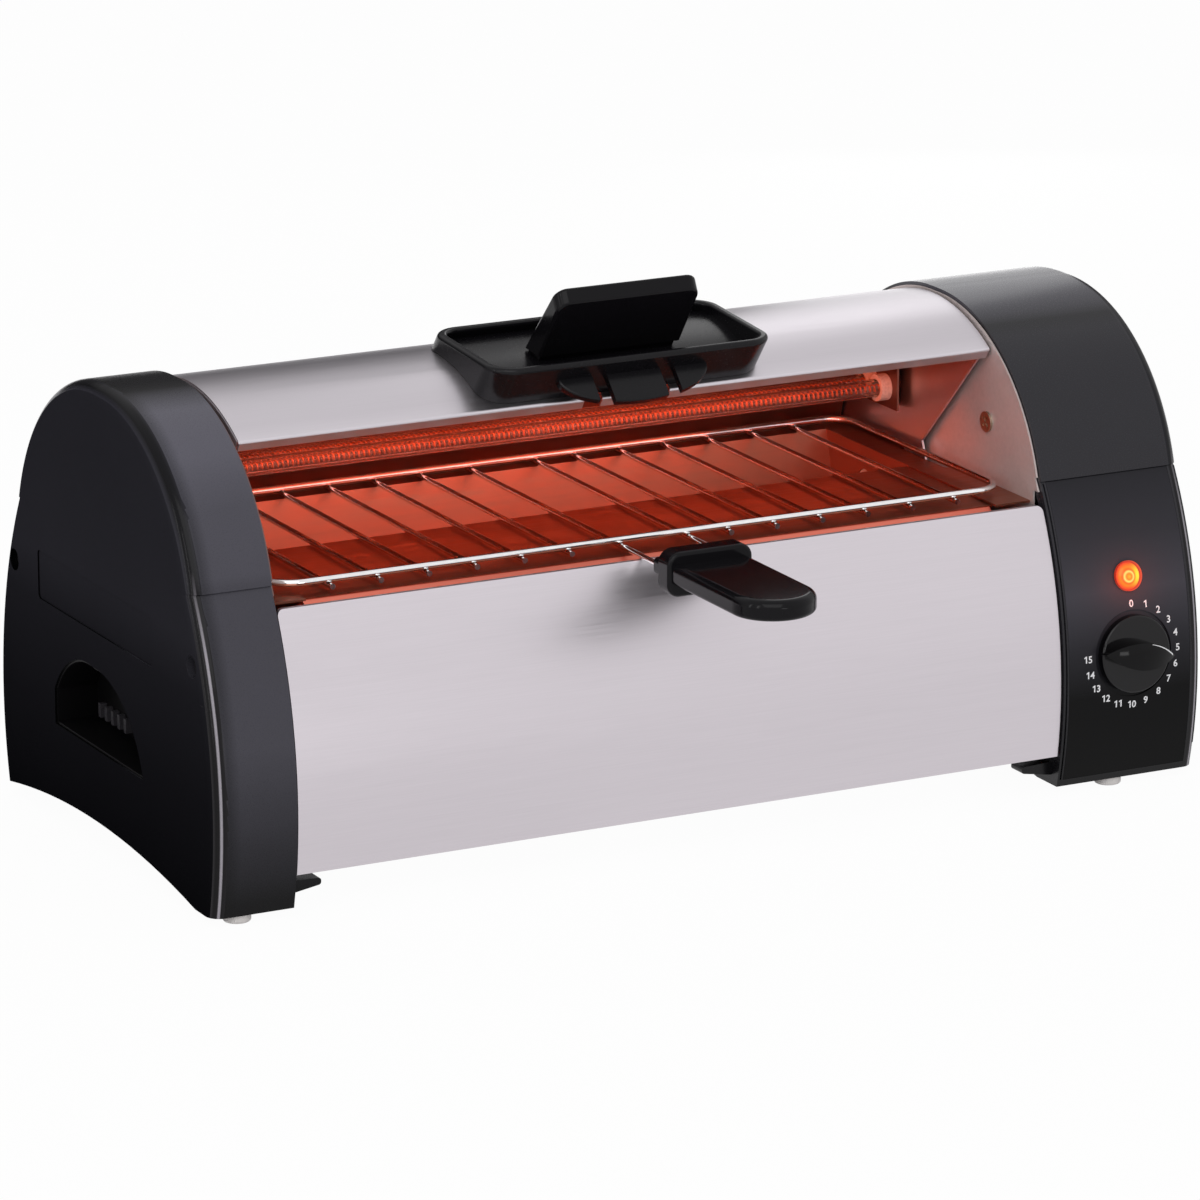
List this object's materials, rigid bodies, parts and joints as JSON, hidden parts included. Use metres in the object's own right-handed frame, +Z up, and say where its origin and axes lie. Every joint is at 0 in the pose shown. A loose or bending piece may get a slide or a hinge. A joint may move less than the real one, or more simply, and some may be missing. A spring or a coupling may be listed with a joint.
{
  "type": "roll toaster",
  "caption": "Household roll toaster: steel tunnel between black end caps, with a swinging hood, a sliding wire rack, a crumb drawer and a timer dial.",
  "frame": {"origin": "middle of the bounding box's bottom, at the feet's undersides", "axes": "+X along the tunnel from the left cap to the timer's cap, -Y to the front where the handle stands out, +Z up"},
  "size_m": [0.4144, 0.2734, 0.2069],
  "materials": {
    "cap_black": "satin black",
    "panel_black": "gloss black",
    "gloss_black": "gloss black",
    "stainless": "brushed along the length",
    "plain_steel": "fine satin",
    "reflector": "rolled bright",
    "chrome_wire": "bright chrome",
    "quartz": "clear quartz",
    "heating_wire": "glowing orange red",
    "ceramic": "unglazed ceramic",
    "pin_steel": "turned",
    "spacer_brass": "turned",
    "pad_rubber": "matt",
    "timer_case": "moulded",
    "bell_steel": "nickelled",
    "lens_orange": "clear orange",
    "bulb_glass": "clear",
    "socket_black": "moulded",
    "terminal_white": "moulded",
    "cutout_metal": "plain",
    "screw_zinc": "zinc plated",
    "foot_rubber": "pale translucent"
  },
  "bodies": {
    "housing": {"left_end_cap": "cap_black", "right_end_cap": "cap_black", "cord_inlet": "cap_black", "control_panel": "panel_black", "front_cover": "stainless", "rear_cover": "stainless", "left_side_wall": "plain_steel", "right_side_wall": "plain_steel", "base_plate": "plain_steel", "heat_shield": "plain_steel", "lower_reflector": "reflector", "upper_reflector": "reflector", "upper_quartz_tubes": "quartz", "lower_quartz_tubes": "quartz", "upper_heating_coils": "heating_wire", "lower_heating_coils": "heating_wire", "upper_tube_holders": "ceramic", "lower_tube_holders": "ceramic", "hood_pivot_pins": "pin_steel", "pivot_nuts": "pin_steel", "pivot_spacers": "spacer_brass", "hood_stop_pads": "pad_rubber", "timer_body": "timer_case", "timer_bell": "bell_steel", "timer_screws": "bell_steel", "lamp_lens": "lens_orange", "lamp_bulb": "bulb_glass", "lamp_socket": "socket_black", "terminal_block": "terminal_white", "thermal_cutout": "cutout_metal", "cap_screws": "screw_zinc", "wall_screws": "screw_zinc", "base_screws": "screw_zinc", "feet": "foot_rubber"},
    "hood": {"hood_sheet": "stainless", "left_hood_plate": "plain_steel", "right_hood_plate": "plain_steel", "hood_tray": "gloss_black", "tray_screws": "pin_steel", "grip_plate": "gloss_black"},
    "rack": {"rack_frame": "chrome_wire", "rack_cross_wires": "chrome_wire", "rack_handle": "gloss_black"},
    "timer_dial": {"timer_knob": "gloss_black", "timer_shaft": "pin_steel"},
    "crumb_drawer": {"crumb_tray": "plain_steel", "crumb_tray_grip": "cap_black"}
  },
  "joints": [
    {"name": "hood_hinge", "type": "hinge", "parent": "housing", "child": "hood", "pos_m": [-0.01475, 0.03625, 0.095], "axis": [-1, 0, 0], "range_deg": [-45.1, 0]},
    {"name": "rack_slide", "type": "slide", "parent": "housing", "child": "rack", "axis": [0, -1, 0], "range_m": [0, 0.165]},
    {"name": "timer_turn", "type": "hinge", "parent": "housing", "child": "timer_dial", "pos_m": [0.1762, -0.06371, 0.0533], "axis": [0, 0.9967, -0.0806], "range_deg": [-97.2, 172.8]},
    {"name": "crumb_slide", "type": "slide", "parent": "housing", "child": "crumb_drawer", "axis": [0, 1, 0], "range_m": [0, 0.12]}
  ]
}
